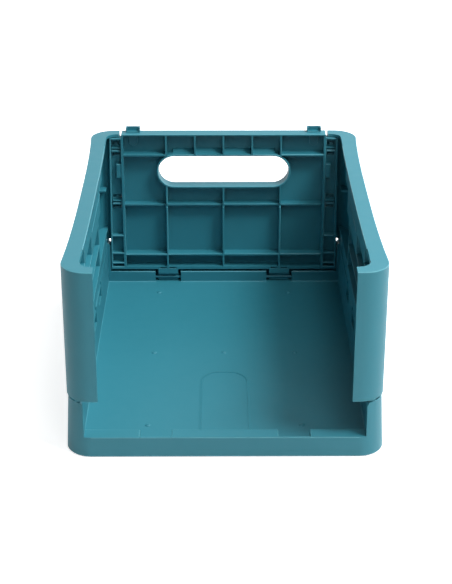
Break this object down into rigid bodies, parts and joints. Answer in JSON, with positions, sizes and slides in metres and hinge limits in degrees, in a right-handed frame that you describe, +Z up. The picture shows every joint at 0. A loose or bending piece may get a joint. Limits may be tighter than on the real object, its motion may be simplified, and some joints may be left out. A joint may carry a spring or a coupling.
{
  "type": "collapsible storage crate",
  "caption": "Open-fronted folding storage crate: base tray, hinged side walls with wrapped corners, and a ribbed end panel with a hand hole that folds onto the floor.",
  "frame": {"origin": "middle of the footprint, on the ground", "axes": "+X to the right seen from the open front, +Y to the rear panel, +Z up"},
  "size_m": [0.2708, 0.361, 0.1759],
  "materials": {
    "crate_plastic": "matt moulded polypropylene, blue-green",
    "fitting_plastic": "smooth moulded polypropylene, blue-green, a little darker"
  },
  "bodies": {
    "base": {"base_tray": "crate_plastic", "front_hinge_pin_left": "fitting_plastic", "front_hinge_pin_right": "fitting_plastic", "rear_hinge_pin_left": "fitting_plastic", "rear_hinge_pin_right": "fitting_plastic", "left_wall_pin_front": "fitting_plastic", "left_wall_pin_middle": "fitting_plastic", "left_wall_pin_rear": "fitting_plastic", "right_wall_pin_front": "fitting_plastic", "right_wall_pin_middle": "fitting_plastic", "right_wall_pin_rear": "fitting_plastic"},
    "left_side": {"left_wall": "crate_plastic"},
    "right_side": {"right_wall": "crate_plastic"},
    "rear_end": {"rear_panel": "crate_plastic", "upper_clip_left": "fitting_plastic", "upper_clip_right": "fitting_plastic", "lower_clip_left": "fitting_plastic", "lower_clip_right": "fitting_plastic", "stacking_tab_left": "fitting_plastic", "stacking_tab_right": "fitting_plastic"}
  },
  "joints": [
    {"name": "rear_panel_fold", "type": "hinge", "parent": "base", "child": "rear_end", "pos_m": [0, 0.17, 0.012], "axis": [1, 0, 0], "range_deg": [0, 90]},
    {"name": "left_wall_fold", "type": "hinge", "parent": "base", "child": "left_side", "pos_m": [-0.1258, 0, 0.0462], "axis": [0, 1, 0], "range_deg": [0, 0.8]},
    {"name": "right_wall_fold", "type": "hinge", "parent": "base", "child": "right_side", "pos_m": [0.1258, 0, 0.0462], "axis": [0, -1, 0], "range_deg": [0, 0.8]}
  ]
}
